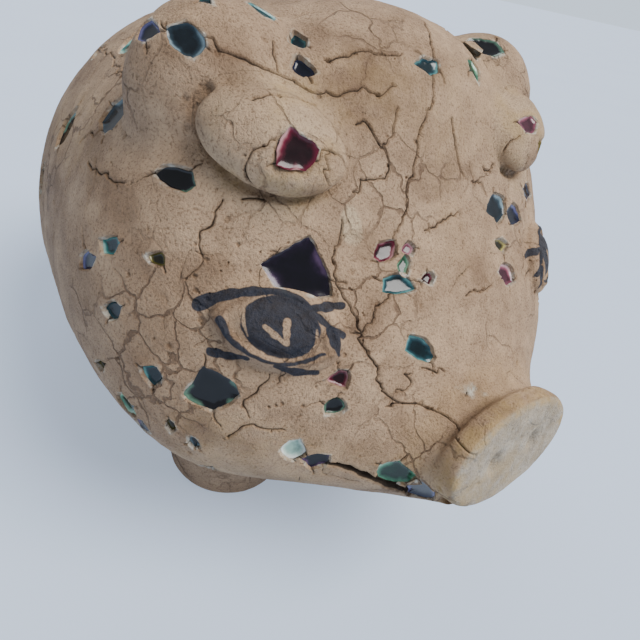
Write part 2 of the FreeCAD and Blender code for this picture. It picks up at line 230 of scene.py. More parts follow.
# ------------------------------------------------------------------ shapes that the CAD frame gives
def hollow_tool():
    """The hollow inside the shells: a ball of points pushed out from its middle onto their inner walls."""
    bm = joined(SHELLS + ["stopper"])
    (x0, y0, _), (x1, y1, z1) = SLOT
    plug = bmesh.ops.create_cube(bm, size=1)["verts"]
    for v in plug:
        v.co = Vector((x0 - MM if v.co.x < 0 else x1 + MM, y0 - 2 * MM if v.co.y < 0 else y1 + 2 * MM,
                       0.108 if v.co.z < 0 else z1))
    walls = BVHTree.FromBMesh(bm)
    bm.free()
    ball = bmesh.new()
    bmesh.ops.create_icosphere(ball, subdivisions=5, radius=1)
    for v in ball.verts:
        v.co = walls.ray_cast(MIDDLE * MM, v.co.normalized())[0]
    return object_from("hollow", ball)


def opening(name):
    """The two corners of an opening's box in the record, in metres."""
    return next(o for o in frame["record"]["physics"]["openings"] if o["name"] == name)["box_m"]


def box_tool(name, low, high):
    """A box between two corners, in metres."""
    bm = bmesh.new()
    for v in bmesh.ops.create_cube(bm, size=1)["verts"]:
        v.co = Vector([low[i] if v.co[i] < 0 else high[i] for i in range(3)])
    return object_from(name, bm)


def grown(name, node, by):
    """A closed copy of a CAD node, remeshed evenly and moved out along its normals."""
    obj = remesh(object_from(name, joined([node])), 0.8)
    smooth(obj, 3)
    set_points(obj.data, points_of(obj.data) + normals_of(obj.data) * by * MM)
    return obj


SLOT = opening("coin_slot")


class Chip:
    """One piece of glass, read from its CAD prism: its outline in its own plane, its normal and its middle."""

    def __init__(self, node, verts, faces, skin):
        self.node = node
        middle = sum((v.co for v in verts), Vector()) / len(verts)
        out = (middle - MIDDLE * MM).normalized()
        skin_normal = skin.ray_cast(middle + out * 4 * MM, -out)[1]
        self.normal = max((f.normal for f in faces), key=lambda n: n.dot(skin_normal)).copy()
        high = max(v.co.dot(self.normal) for v in verts)
        ring = [v.co.copy() for v in verts if v.co.dot(self.normal) > high - 0.2 * MM]
        self.middle = sum(ring, Vector()) / len(ring)
        up = Vector((0, 0, 1)) - self.normal * self.normal.z
        self.across = up.normalized().cross(self.normal)
        self.up = self.normal.cross(self.across)
        ring.sort(key=lambda p: math.atan2((p - self.middle).dot(self.up), (p - self.middle).dot(self.across)))
        self.corners = np.array([((p - self.middle).dot(self.across), (p - self.middle).dot(self.up))
                                 for p in ring]) / MM
        self.reach = float(np.hypot(*self.corners.T).max())

    def outline(self, spacing=0.5, wobble=0.22):
        """Its outline as an even row of points, in millimetres, with corners and sides worn uneven."""
        rows = []
        for a, b in zip(self.corners, np.roll(self.corners, -1, axis=0)):
            count = max(2, int(np.hypot(*(b - a)) / spacing))
            side = np.array([-(b - a)[1], (b - a)[0]]) / (np.hypot(*(b - a)) + 1e-9)
            for k in range(count):
                t = k / count
                point = a + (b - a) * t
                rough = grain(np.array([[*point, self.middle.x / MM]]), 0.9)[0] - 0.5
                bow = 0.10 * grain(np.array([[*point, self.middle.z / MM]]), 3.0)[0]
                swell = bow * np.hypot(*(b - a)) * math.sin(math.pi * t)
                rows.append(point + side * (2 * wobble * rough - swell))
        return np.array(rows) * GLASS_SPREAD

    def place(self, flat, lift):
        """A point of its plane, in millimetres, lifted along its normal."""
        return self.middle + (self.across * flat[0] + self.up * flat[1] + self.normal * lift) * MM


def read_chips(skin):
    """Every piece of glass: the islands of the CAD nodes that hold them."""
    chips = []
    for name in GLASS:
        bm = joined([name])
        bmesh.ops.recalc_face_normals(bm, faces=bm.faces)
        left = set(bm.verts)
        while left:
            island, edge = set(), {next(iter(sorted(left, key=lambda v: v.index)))}
            while edge:
                island |= edge
                edge = {e.other_vert(v) for v in edge for e in v.link_edges} - island
            left -= island
            faces = {f for v in island for f in v.link_faces}
            verts = sorted(island, key=lambda v: v.index)
            chips.append(Chip(name, verts, sorted(faces, key=lambda f: f.index), skin))
        bm.free()
    return chips


def rings_to_mesh(bm, rings, values=None, layer=None):
    """A closed body through rings of equally many points, from its floor to its top."""
    rows = [[bm.verts.new(p) for p in ring] for ring in rings]
    count = len(rows[0])
    for low, high in zip(rows, rows[1:]):
        for k in range(count):
            bm.faces.new((low[k], low[(k + 1) % count], high[(k + 1) % count], high[k]))
    caps = []
    for row, flip in ((rows[0], True), (rows[-1], False)):
        hub = bm.verts.new(sum((v.co for v in row), Vector()) / count)
        caps.append(hub)
        for k in range(count):
            a, b = row[k], row[(k + 1) % count]
            bm.faces.new((hub, b, a) if flip else (hub, a, b))
    if layer is not None:
        for row, value in zip(rows, values):
            for v, one in zip(row, np.broadcast_to(value, count)):
                v[layer] = float(one)
        caps[0][layer], caps[1][layer] = 1.0, 0.0


# ------------------------------------------------------------------ where the maker's marks and cracks run
# Main cracks as (station along Y in mm, direction round the pig in degrees: 0 left, 90 up, 180 right).
CRACKS = (
    ((-69, 142), (-64, 138), (-59, 133), (-56, 126), (-54, 121)),
    ((-69, 142), (-68, 135), (-67, 127), (-66, 120), (-67, 113)),
    ((-69, 142), (-68, 145)),
    ((-69, 142), (-72, 147), (-76, 155), (-79, 158), (-81, 155), (-87, 153), (-90, 157), (-95, 157)),
    ((-79, 158), (-78, 162)), ((-77, 143), (-78, 151), (-78, 154)), ((-77, 137), (-79, 128)),
    ((-47, 112), (-48, 109), (-50, 108), (-53, 108), (-53, 115), (-54, 121), (-54, 126)),
    ((-50, 108), (-49, 103), (-47, 101)), ((-45, 126), (-45, 121), (-45, 118)), ((-35, 118), (-38, 120)),
    ((-48, 137), (-50, 133), (-51, 128)), ((-46, 139), (-47, 143), (-47, 146), (-49, 150), (-49, 153)),
    ((-30, 84), (-39, 88), (-45, 91), (-49, 95), (-56, 105), (-61, 116)),
    ((-49, 86), (-53, 84), (-55, 81)), ((-55, 78), (-56, 70)), ((-54, 72), (-52, 64)),
    ((-60, 102), (-60, 94), (-59, 85)), ((-38, 111), (-39, 107), (-40, 96)),
    ((-71, 93), (-71, 83), (-71, 72)),
    ((-65, 163), (-65, 170), (-66, 174)), ((-66, 164), (-67, 160)), ((-65, 181), (-67, 176), (-71, 176)),
    ((37, 134), (27, 133), (-2, 135)), ((-5, 148), (-19, 142)), ((-16, 150), (-28, 148), (-31, 147)),
    ((-33, 128), (-35, 125), (-38, 123), (-40, 118), (-42, 116), (-44, 110), (-45, 100)),
)

# The mouth: an open line from the cheek to under the snout, on both sides.
MOUTH = ((-74, 185), (-77, 187), (-80, 190), (-84, 199), (-88, 208), (-91, 219))

# The eye's plane: millimetres towards the snout and up the brow from the middle of the right eye. The left eye
# is its mirror image.
EYE_MIDDLE = Vector((-42, -61.5, 72))
EYE_ACROSS = Vector((0.768, -0.619, -0.167)).normalized()
EYE_OUT = Vector((-0.451, -0.707, 0.544)).normalized()
IRIS = (0.2, 0.0, 7.4, 5.6)
# brush strokes: points, then the width at the start, in the middle and at the end
STROKES = (
    (((-15.2, -0.8), (-13.2, 1.0), (-11, 2.4), (-7.2, 4.4), (-1.2, 6.1), (2.8, 5.5), (7.5, 3.4), (11.9, 2.0)),
     2.6, 1.3, 1.2),
    (((4.2, 4.9), (7.0, 6.1), (10.4, 7.4)), 0.8, 2.0, 1.2),
    (((8.6, 2.2), (10.6, 0.6), (12.4, -1.8)), 0.8, 2.2, 0.5),
    (((1.6, -6.9), (5.6, -7.1), (9.8, -6.2)), 1.0, 2.0, 0.8),
    (((-10.6, -8.6), (-7, -8.2), (-3.8, -7.3)), 1.7, 1.5, 1.1),
    (((-10.6, -2.0), (-7.6, -4.7), (-3.2, -6.2), (1, -6.4), (5.6, -5.0), (9.6, -2.2)), 1.3, 0.6, 0.6),
)
# the rims of the lids, which the maker pressed up
LIDS = (
    (((-12, -1.6), (-9.6, 2.0), (-5.6, 4.7), (-0.6, 5.9), (4.2, 4.6), (8.4, 1.2), (10.6, -1.8)), 0.2, 0.5, 0.2),
    (((-12, -1.6), (-7.6, -4.8), (-3.2, -6.2), (1.4, -6.4), (6.0, -5.0), (10.6, -1.8)), 0.2, 0.4, 0.2),
)
# bare clay left in the painted eye
BARE = (
    (((-2.6, -0.6), (-0.3, -1.6), (2.0, -2.5)), 0.9, 1.1, 0.9),
    (((0.9, 1.4), (1.5, -0.6), (2.2, -2.5)), 1.4, 1.3, 0.9),
    (((-7.2, 1.4), (-6.6, -0.8), (-5.0, -3.4)), 0.3, 0.8, 0.3),
    (((6.6, 1.6), (7.4, -0.4), (6.8, -2.6)), 0.3, 0.9, 0.3),
)


def curve_points(points, spacing):
    """A smooth curve through points, as an even row."""
    p = np.array(points, float)
    p = np.vstack([2 * p[0] - p[1], p, 2 * p[-1] - p[-2]])
    rows = []
    for a, b, c, d in zip(p, p[1:], p[2:], p[3:]):
        count = max(2, int(np.linalg.norm(c - b) / spacing))
        for t in np.arange(count)[:, None] / count:
            rows.append(0.5 * (2 * b + (c - a) * t + (2 * a - 5 * b + 4 * c - d) * t ** 2
                               + (3 * b - a - 3 * c + d) * t ** 3))
    return np.vstack(rows + [p[-2:-1]])


def on_skin(skin, station, direction):
    """Where a line from outside towards the pig's long axis meets the skin."""
    angle = math.radians(direction)
    axis = Vector((0, station, AXIS_HEIGHT)) * MM
    out = Vector((math.cos(angle), 0, math.sin(angle)))
    return skin.ray_cast(axis + out * 0.2, -out)[0]


def crack_samples(skin, chips):
    """Points along every crack with the crack's half width there, in millimetres."""
    points, widths = [], []

    def lay(row, width):
        """Adds even points along a row; width gives the half width for each share of its length."""
        for k, (a, b) in enumerate(zip(row, row[1:])):
            count = max(1, int((b - a).length / (CRACK_SPACING * MM)))
            for part in range(count):
                point = np.array(a.lerp(b, part / count)) / MM
                points.append(point)
                widths.append(width((k + part / count) / (len(row) - 1)) * (0.5 + grain(point[None], 1.7)[0]))

    def tapered(widest):
        return lambda t: widest * (0.5 + 0.5 * math.sin(math.pi * min(0.5 + 0.5 * t, 0.97)))

    for number, crack in enumerate(CRACKS):
        row = []
        for station, direction in curve_points([(y, d * DEGREE) for y, d in crack], 0.35):
            place = np.array([[station, direction, number]])
            station += 1.5 * (grain(place, 2.6)[0] - 0.5) + 0.7 * (grain(place + 3, 0.9)[0] - 0.5)
            direction += 1.5 * (grain(place + 7, 2.2)[0] - 0.5) + 0.7 * (grain(place + 5, 0.9)[0] - 0.5)
            row.append(on_skin(skin, station, direction / DEGREE))
        lay([p for p in row if p is not None], tapered(0.14))
    for sign in (1, -1):
        row = [on_skin(skin, y, 90 + sign * (d - 90)) for y, d in curve_points(MOUTH, 0.3)]
        lay([p for p in row if p is not None],
            lambda t: float(np.interp(t, (0, 0.3, 0.7, 1), (0.2, 1.0, 1.2, 0.3))))
    for chip in chips:
        for k in sorted(random.sample(range(len(chip.corners)), 2)):
            corner = chip.corners[k]
            heading = math.atan2(corner[1], corner[0]) + random.uniform(-0.4, 0.4)
            length = random.uniform(0.2, 0.8) * min(chip.reach + 1.0, 6)
            flat = corner * 0.97
            row = []
            for _ in range(int(length / 0.3)):
                heading += random.uniform(-0.32, 0.32)
                flat = flat + 0.3 * np.array([math.cos(heading), math.sin(heading)])
                row.append(skin.find_nearest(chip.place(flat, 0.5))[0])
            lay(row, tapered(0.11))
    return np.array(points), np.array(widths)


def net_seeds(points):
    """Points of the skin, 7.5 to 13.5 mm apart, that the cells of the crack net grow round."""
    seeds = []
    grid = {}
    for index in rng.permutation(len(points)):
        p = points[index]
        cell = (p // GRID_CELL).astype(int)
        spread = 7.5 + 6 * mixed_up(index)
        if all(np.dot(p - seeds[s], p - seeds[s]) > spread ** 2 for s in grid.get(tuple(cell), ())):
            for corner in np.ndindex(3, 3, 3):
                grid.setdefault(tuple(cell + np.array(corner) - 1), []).append(len(seeds))
            seeds.append(p)
        if len(seeds) > 900:
            break
    return np.array(seeds)


def net_distance(points):
    """Distance in millimetres to the fine net of cracks, of which a random quarter of the edges shows."""
    seeds = net_seeds(points)
    tree = kd_of(seeds)
    warped = points + 2.2 * np.column_stack([grain(points + shift, 5) - 0.5 for shift in (0, 31, 67)])
    warped += 0.8 * np.column_stack([grain(points + shift, 1.6) - 0.5 for shift in (11, 43, 79)])
    pair = np.array([[hit[1] for hit in tree.find_n(p, 2)] for p in warped])
    a, b = seeds[pair[:, 0]], seeds[pair[:, 1]]
    gap = (((warped - b) ** 2).sum(1) - ((warped - a) ** 2).sum(1)) / (2 * np.linalg.norm(a - b, axis=1))
    chance = (pair.min(1) * 7919 + pair.max(1) * 104729) % 1000 / 1000
    distance = np.where(chance < NET_SHARE, np.abs(gap) - 0.02 - 0.10 * (chance / NET_SHARE), FAR)
    return distance + 0.6 * step(grain(points, 16), 0.62, 0.75)


def stroke_distance(flat, strokes):
    """Distance in millimetres from points of the eye's plane to tapered strokes; negative is inside one."""
    best = np.full(len(flat), FAR)
    for points, start, middle, end in strokes:
        row = curve_points(points, 0.25)
        t = np.linspace(0, 1, len(row))
        width = np.interp(t, (0, 0.45, 1), (start, middle, end)) / 2
        width = width * (1 + 0.12 * np.sin(5 * t * len(points)))
        for point, half in zip(row, width):
            best = np.minimum(best, np.hypot(*(flat - point).T) - half)
    return best


def near_eye(where, sign):
    """Which points lie round the eye on that side, and their places in its plane, in millimetres."""
    local = where * np.array([-sign, 1, 1]) - np.array(EYE_MIDDLE)
    flat = np.column_stack([local @ np.array(EYE_ACROSS), local @ np.array(EYE_OUT.cross(EYE_ACROSS))])
    near = np.nonzero((np.hypot(*flat.T) < 20) & (np.abs(local @ np.array(EYE_OUT)) < 9))[0]
    return near, flat[near]


# ------------------------------------------------------------------ the clay skin
def clay_solid(hollow):
    """All clay pieces and the glass as one solid, with the hollow as a body of its own inside."""
    bm = joined(CLAY)
    for name in GLASS:
        bm.from_mesh(NODES[name].data)
    bm.from_mesh(hollow.data)
    return object_from("clay", bm)


def fill_pockets(obj, chips):
    """Adds a plug over each piece of glass that brings its pocket level with the skin."""
    bm = bmesh.new()
    bm.from_mesh(obj.data)
    for chip in chips:
        ring = chip.corners * 1.06
        rings_to_mesh(bm, [[chip.place(p, lift) for p in ring] for lift in (-2.2, 0.35)])
    bm.to_mesh(obj.data)
    bm.free()


def refine(obj, near, cuts):
    """Cuts the mesh finer between the points that near marks."""
    bm = bmesh.new()
    bm.from_mesh(obj.data)
    edges = [e for e in bm.edges if near[e.verts[0].index] and near[e.verts[1].index]]
    bmesh.ops.subdivide_edges(bm, edges=edges, cuts=cuts, use_grid_fill=True)
    bmesh.ops.triangulate(bm, faces=[f for f in bm.faces if len(f.verts) > 4])
    bm.to_mesh(obj.data)
    bm.free()


def ear_rims():
    """Where the free, lower edge of each ear meets the head, in millimetres."""
    rows = []
    for side, sign in SIDES:
        bm = joined([f"ear_{side}"])
        centre = sum((v.co for v in bm.verts), Vector()) / len(bm.verts)
        free = Vector((sign * 0.6, -0.1, -0.8))
        for edge in bm.edges:
            if len(edge.link_faces) == 2 and edge.calc_face_angle() > 0.7:
                a, b = (v.co for v in edge.verts)
                along = [a.lerp(b, t) for t in np.linspace(0, 1, max(2, int((a - b).length / 0.0004)))]
                rows += [np.array(p) / MM for p in along if (p - centre).dot(free) > 0]
        bm.free()
    return np.array(rows)


def nearest(tree, points):
    """Distance in millimetres from each point to the nearest one of a tree."""
    return np.array([tree.find(p)[2] for p in points])


def blend_skin(skin, rim_tree):
    """Lets the ears and humps flow into the head, the snout's rim round off and the feet into the belly."""
    points = points_of(skin.data) / MM
    blend = np.zeros(len(points))
    for _, sign in SIDES:
        hump = np.linalg.norm(points - np.array([sign * 38, -24, 102]), axis=1)
        ear = np.linalg.norm(points - np.array([sign * 36, -46, 100]), axis=1)
        blend = np.maximum(blend, np.maximum(1 - step(hump, 20, 30), 1 - step(ear, 15, 21)))
    blend = blend * (0.04 + 0.96 * step(nearest(rim_tree, points), 3.5, 10))
    smooth(skin, 5)
    smooth(skin, 240, blend)
    snout_rim = np.abs(points - SNOUT_MIDDLE) / np.array([24, 9, 16])
    smooth(skin, 26, 1 - step(np.linalg.norm(snout_rim, axis=1), 0.8, 1.1))
    height = points[:, 2]
    smooth(skin, 30, step(height, 3, 6) * (1 - step(height, 22, 28)))
    for foot in FEET:
        low, high = (np.array(corner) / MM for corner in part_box(foot))
        from_axis = np.hypot(*(points - (low + high) / 2).T[:2])
        smooth(skin, 160, (1 - step(from_axis, 22, 30)) * step(height, 12, 22) * (1 - step(height, 36, 44)))


def crack_distance(skin, chips):
    """Cuts the mesh finer at the eyes and cracks, then gives each point's distance to a crack in millimetres."""
    points = points_of(skin.data) / MM
    faces = [tuple(face.vertices) for face in skin.data.polygons]
    tree = BVHTree.FromPolygons([Vector(p) for p in points * MM], faces)
    crack_points, half_widths = crack_samples(tree, chips)
    crack_tree = kd_of(crack_points)
    near_line = nearest(crack_tree, points) < 1.0
    eyes = [np.linalg.norm(points - np.array(EYE_MIDDLE) * (-sign, 1, 1), axis=1) for _, sign in SIDES]
    refine(skin, np.min(eyes, axis=0) < 17, 2)
    added = len(skin.data.vertices) - len(near_line)
    refine(skin, np.concatenate([near_line, np.zeros(added, bool)]), 2)
    found = [crack_tree.find(p) for p in points_of(skin.data) / MM]
    return np.array([f[2] for f in found]) - half_widths[[f[1] for f in found]]


def chip_distance(points, chips):
    """Distance in millimetres from each point to the outline of the nearest glass; negative is inside it."""
    reach = np.full(len(points), FAR)
    tree = kd_of([np.array(chip.middle) / MM for chip in chips])
    near_chip = np.array([tree.find(p)[1:] for p in points])
    for number, chip in enumerate(chips):
        mine = np.nonzero((near_chip[:, 0] == number) & (near_chip[:, 1] < chip.reach + 4))[0]
        local = points[mine] - np.array(chip.middle) / MM
        flat = np.column_stack([local @ np.array(chip.across), local @ np.array(chip.up)])
        inside = np.full(len(mine), -FAR)
        for a, b in zip(chip.corners, np.roll(chip.corners, -1, axis=0)):
            side = np.array([(b - a)[1], -(b - a)[0]]) / np.hypot(*(b - a))
            inside = np.maximum(inside, (flat - a) @ side)
        reach[mine] = np.minimum(reach[mine], inside)
    return reach


def pin_holes(points):
    """1 in the small holes that gas left in the slip, 0 outside them."""
    tree = kd_of(points[rng.choice(len(points), 900, replace=False)])
    hole = np.array([tree.find(p)[1:] for p in points])
    size = 0.25 + 0.55 * mixed_up(hole[:, 0]) ** 3
    return 1 - step(hole[:, 1], size * 0.6, size)


def lid_relief(points):
    """How far the lids stand out and the ball's edge lies back at each eye, in millimetres."""
    relief = np.zeros(len(points))
    for _, sign in SIDES:
        near, flat = near_eye(points, sign)
        ball = np.hypot((flat[:, 0] - IRIS[0]) / 10.5, (flat[:, 1] - IRIS[1]) / 5.7)
        back = step(ball, 0.62, 0.95) * (1 - step(ball, 0.95, 1.08))
        relief[near] = 0.55 * np.exp(-(stroke_distance(flat, LIDS) / 0.75) ** 2) - 0.5 * back
    return relief


hollow = hollow_tool()
chips = read_chips(BVHTree.FromBMesh(joined(CLAY + GLASS)))
skin = clay_solid(hollow)
fill_pockets(skin, chips)
remesh(skin, VOXEL)
rim_tree = kd_of(ear_rims())
blend_skin(skin, rim_tree)
line = crack_distance(skin, chips)
points = points_of(skin.data) / MM
normals = normals_of(skin.data)
net_line = net_distance(points)
chip_reach = chip_distance(points, chips)
pin_hole = pin_holes(points)
rim = nearest(rim_tree, points)

depth = 0.5 * (1 - step(line, -0.2, 0.33)) + 1.6 * (1 - step(line, -1.0, -0.15))
depth = depth + 0.2 * (1 - step(net_line, -0.1, 0.3)) + 0.35 * pin_hole + 1.5 * np.exp(-(rim / 1.1) ** 2)
swell = 0.06 * (1 - step(line, 0.3, 2.2)) + 0.12 * (1 - step(chip_reach, 0.2, 2.5))
uneven = sum(height * (grain(points, size) - 0.5) for height, size in ((0.55, 13), (0.22, 4.2), (0.10, 1.5)))
quiet = 1 - 0.75 * (1 - step(np.linalg.norm(points - np.array(EYE_MIDDLE), axis=1), 9, 16))
move = (uneven + swell - depth) * quiet + lid_relief(points)
sole = step(points[:, 2], 0.4, 2.5)
set_points(skin.data, (points + normals * (move * sole)[:, None]) * MM)


# ------------------------------------------------------------------ what the clay's material reads
def painted_distance(points):
    """Distance in millimetres to the painted parts of the eyes; negative is inside them."""
    paint = np.full(len(points), FAR)
    for _, sign in SIDES:
        near, flat = near_eye(points, sign)
        flat = flat + 0.3 * np.column_stack([grain(points[near] + shift, 1.1) - 0.5 for shift in (0, 9)])
        x, y, long, tall = IRIS
        iris = (np.hypot((flat[:, 0] - x) / long, (flat[:, 1] - y) / tall) - 1) * tall
        value = np.minimum(iris, stroke_distance(flat, STROKES))
        paint[near] = np.minimum(paint[near], np.maximum(value, -stroke_distance(flat, BARE)))
    return paint


def stains_and_painted_shade(points):
    """Fired-clay stain at the cracks, holes and between the ears, painted shade in the grooves round the lids
    and under the ears' free edges, and darker towards the bottom.
    """
    between_ears = np.linalg.norm(points - np.array([-16, -40, 111]), axis=1)
    brown_and_shade = 0.8 * (1 - step(between_ears, 4, 24)) * step(grain(points, 6), 0.3, 0.6)
    # painted shade in the groove round each lid, towards its outer corners
    for _, sign in SIDES:
        near, flat = near_eye(points, sign)
        lid = np.abs(stroke_distance(flat, LIDS) - 0.3)
        brown_and_shade[near] = np.maximum(brown_and_shade[near], 0.9 * np.exp(-(lid / 0.8) ** 2) * step(np.abs(flat[:, 0]), 3, 9))
    brown_and_shade = brown_and_shade + 0.3 * (1 - step(line, 0.0, 1.0)) + 0.2 * (1 - step(net_line, 0.05, 1.2)) + 0.5 * pin_hole
    # painted shade along the crease under each ear's free edge, and large blotches of stain
    brown_and_shade = brown_and_shade + 0.8 * np.exp(-(rim / 1.3) ** 2) + 0.5 * step(grain(points + 5, 9), 0.62, 0.8)
    # darker towards the bottom
    return np.clip(brown_and_shade + 0.6 * (1 - step(points[:, 2], 2, 10)), 0, 1)


def disc_masks(points, normals):
    """The pale front of the snout disc, and its worn edge."""
    low, high = (np.array(corner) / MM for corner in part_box("snout_disc"))
    from_disc = points - (low + high) / 2
    level = from_disc @ DISC_FRONT
    tall = from_disc @ np.cross(DISC_FRONT, (1, 0, 0))
    across = np.sqrt((from_disc[:, 0] / (high[0] + 0.2)) ** 2 + (tall / 12.4) ** 2)
    front = step(normals @ DISC_FRONT, 0.45, 0.8) * step(level, -1, 1) * (1 - step(across, 0.98, 1.1))
    edge = step(across + 0.1 * (grain(points, 3) - 0.5), 0.78, 0.95) * (1 - step(across, 1.02, 1.15))
    return front, edge * step(level, -2.5, 0)


def wear_and_cream(points, disc_edge):
    """Where the slip is rubbed to ochre, and where it is paler."""
    from_ear = np.full(len(points), 99.0)
    for name in EARS:
        low, high = (np.array(corner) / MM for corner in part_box(name))
        from_middle = (points - (low + high) / 2) / np.array([1.1, 1, 1.2])
        from_ear = np.minimum(from_ear, np.linalg.norm(from_middle, axis=1))
    from_snout = np.linalg.norm((points - SNOUT_FRONT) / np.array([1.7, 1.3, 1]), axis=1)
    wear = 0.85 * (1 - step(from_ear, 6, 15)) * step(grain(points, 5), 0.35, 0.65)
    wear = wear + 0.3 * (1 - step(from_snout, 14, 19)) + 0.3 * step(grain(points, 22), 0.6, 0.8)
    oval = np.linalg.norm((points - np.array([-25, -56.5, 88])) / np.array([2.6, 4.2, 4.6]), axis=1)
    cream = 1 - step(oval + 0.25 * (grain(points, 2) - 0.5), 0.75, 1.0)
    cream = np.maximum(cream, 0.4 * (1 - step(from_ear, 9, 15)) * step(grain(points, 8), 0.2, 0.5))
    return np.maximum(np.clip(wear, 0, 1), disc_edge), cream


halo = 1 - step(np.abs(chip_reach - 0.3), 0.15, 0.6)
disc_front, disc_edge = disc_masks(points, normals)
wear, cream = wear_and_cream(points, disc_edge)
MASKS = {"pale": disc_front, "crease": np.minimum(line, net_line), "paint": painted_distance(points),
         "wear": wear, "brown_and_shade": stains_and_painted_shade(points), "halo": halo * step(grain(points + 3, 3.2), 0.25, 0.55),
         "cream": cream}
mask_tree = kd_of(points_of(skin.data))


def give_masks(obj):
    """Carries the skin's masks to a piece that was cut from it."""
    index = [mask_tree.find(p)[1] for p in points_of(obj.data)]
    for name, values in MASKS.items():
        set_attribute(obj.data, name, values[index])


# ------------------------------------------------------------------ cutting the skin into its pieces
# rings of a pit: height over the glass's plane, then scale and widening of its outline
PIT_RINGS = ((-1.9, 0.92, 0), (-0.5, 1, 0), (-0.1, 1, 0.12), (0.45, 1, 0.45), (2.2, 1, 0.75))


def pit_tool(chips):
    """Pits for the glass: uneven outlines that widen towards the skin, with a chipped lip."""
    bm = bmesh.new()
    for chip in chips:
        ring = chip.outline()
        centre = ring.mean(0)
        away = (ring - centre) / (np.hypot(*(ring - centre).T)[:, None] + 1e-9)
        rings = []
        for lift, scale, grow in PIT_RINGS:
            rings.append([chip.place(p, lift) for p in centre + (ring - centre) * scale + away * grow])
        rings_to_mesh(bm, rings)
    return object_from("pits", bm)


def slot_tool():
    """The coin slot, up through the back, a little wider than the opening that the frame states."""
    (x0, y0, _), (x1, y1, _) = SLOT
    return box_tool("slot", (x0 - 0.3 * MM, y0 - MM, 0.1), (x1 + 0.3 * MM, y1 + MM, cad_box[1][2] + 0.02))


def bung_hole_tool():
    """The bung's own shape, a little wider all round."""
    obj = object_from("bung_hole", joined(["stopper"]))
    middle = (Vector(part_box("stopper")[0]) + Vector(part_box("stopper")[1])) / 2
    wider = Matrix.Diagonal((1.012, 1.012, 1.25, 1))
    obj.data.transform(Matrix.Translation(middle) @ wider @ Matrix.Translation(-middle))
    return obj


def cut_pieces(skin):
    """Divides the skin into one piece for each clay node: first the small ones, then the shells."""
    pieces = {}
    tools = []
    rest = duplicate(skin, "rest_of_clay")
    for name in SMALL_CLAY:
        by = 1.6 if name in EARS else 1.0 if name in FEET + ["tail"] else 0.7
        tool = grown("around_" + name, name, by)
        pieces[name] = boolean(duplicate(rest, name + "_clay"), tool, "INTERSECT")
        boolean(rest, tool, "DIFFERENCE")
        tools.append(tool)
    wide = 0.3
    regions = (((-wide, -wide, -wide), (wide, COLLAR, wide)), ((-wide, COLLAR, -wide), (0, wide, wide)),
               ((0, COLLAR, -wide), (wide, wide, wide)))
    for name, (low, high) in zip(SHELLS, regions):
        tool = box_tool("around_" + name, low, high)
        pieces[name] = boolean(duplicate(rest, name + "_clay"), tool, "INTERSECT")
        tools.append(tool)
    remove(rest, *tools)
    return pieces


cutters = [pit_tool(chips), hollow, slot_tool(), bung_hole_tool()]
bpy.context.view_layer.update()
for cutter in cutters:
    boolean(skin, cutter, "DIFFERENCE")
pieces = cut_pieces(skin)
remove(skin, *cutters)


# ------------------------------------------------------------------ materials
def material(name, roughness, **sockets):
    """A material with its tree and its shader; sockets are the shader's own, with _ for a space."""
    made = bpy.data.materials.new(name)
    made.use_nodes = True
    shader = made.node_tree.nodes["Principled BSDF"]
    shader.inputs["Roughness"].default_value = roughness
    for key, value in sockets.items():
        shader.inputs[key.replace("_", " ")].default_value = value
    return made, made.node_tree, shader


def node(tree, kind, **settings):
    """A new node; each setting is one of its properties or the name of one of its inputs."""
    made = tree.nodes.new(kind)
    for key, value in settings.items():
        if hasattr(made, key):
            setattr(made, key, value)
        else:
            made.inputs[key.replace("_", " ")].default_value = value
    return made


def coordinates(tree):
    return tree.nodes.new("ShaderNodeTexCoord").outputs["Object"]


def noise_map(tree, scale, detail=3, rough=0.55, offset=0):
    made = node(tree, "ShaderNodeTexNoise", Scale=scale, Detail=detail, Roughness=rough)
    if offset:
        shift = node(tree, "ShaderNodeVectorMath", operation="ADD")
        shift.inputs[1].default_value = (offset, offset, offset)
        tree.links.new(coordinates(tree), shift.inputs[0])
        tree.links.new(shift.outputs[0], made.inputs["Vector"])
    else:
        tree.links.new(coordinates(tree), made.inputs["Vector"])
    return made.outputs["Fac"]


def ramp(tree, value, *stops):
    made = tree.nodes.new("ShaderNodeValToRGB")
    elements = made.color_ramp.elements
    while len(elements) < len(stops):
        elements.new(0.5)
    for element, (place, colour) in zip(elements, stops):
        element.position = place
        element.color = (*colour, 1) if len(colour) == 3 else colour
    tree.links.new(value, made.inputs["Fac"])
    return made.outputs["Color"]


def mask(tree, value, low, high):
    """1 below low, 0 above high."""
    made = node(tree, "ShaderNodeMapRange", interpolation_type="SMOOTHSTEP")
    for key, number in (("From Min", low), ("From Max", high), ("To Min", 1), ("To Max", 0)):
        made.inputs[key].default_value = number
    tree.links.new(value, made.inputs["Value"])
    return made.outputs["Result"]


def mixed(tree, factor, a, b, kind="MIX"):
    """Two colours mixed; factor, a and b are sockets or constants."""
    made = node(tree, "ShaderNodeMix", data_type="RGBA", blend_type=kind)
    for socket, value in ((made.inputs["Factor"], factor), (made.inputs["A"], a), (made.inputs["B"], b)):
        target = [s for s in made.inputs if s.name == socket.name and s.enabled][0]
        if isinstance(value, tuple):
            target.default_value = (*value, 1)
        elif isinstance(value, (int, float)):
            target.default_value = value
        else:
            tree.links.new(value, target)
    return [s for s in made.outputs if s.enabled][0]


def product(tree, a, b, operation="MULTIPLY"):
    """Two numbers, each a socket or a constant, multiplied or otherwise combined."""
    made = node(tree, "ShaderNodeMath", operation=operation)
    for socket, value in zip(made.inputs, (a, b)):
        if isinstance(value, (int, float)):
            socket.default_value = value
        else:
            tree.links.new(value, socket)
    return made.outputs[0]


def attribute(tree, name):
    return node(tree, "ShaderNodeAttribute", attribute_name=name).outputs["Fac"]


def bump(tree, height, distance, strength, below=None):
    made = node(tree, "ShaderNodeBump", Strength=strength, Distance=distance)
    tree.links.new(height, made.inputs["Height"])
    if below is not None:
        tree.links.new(below, made.inputs["Normal"])
    return made.outputs["Normal"]


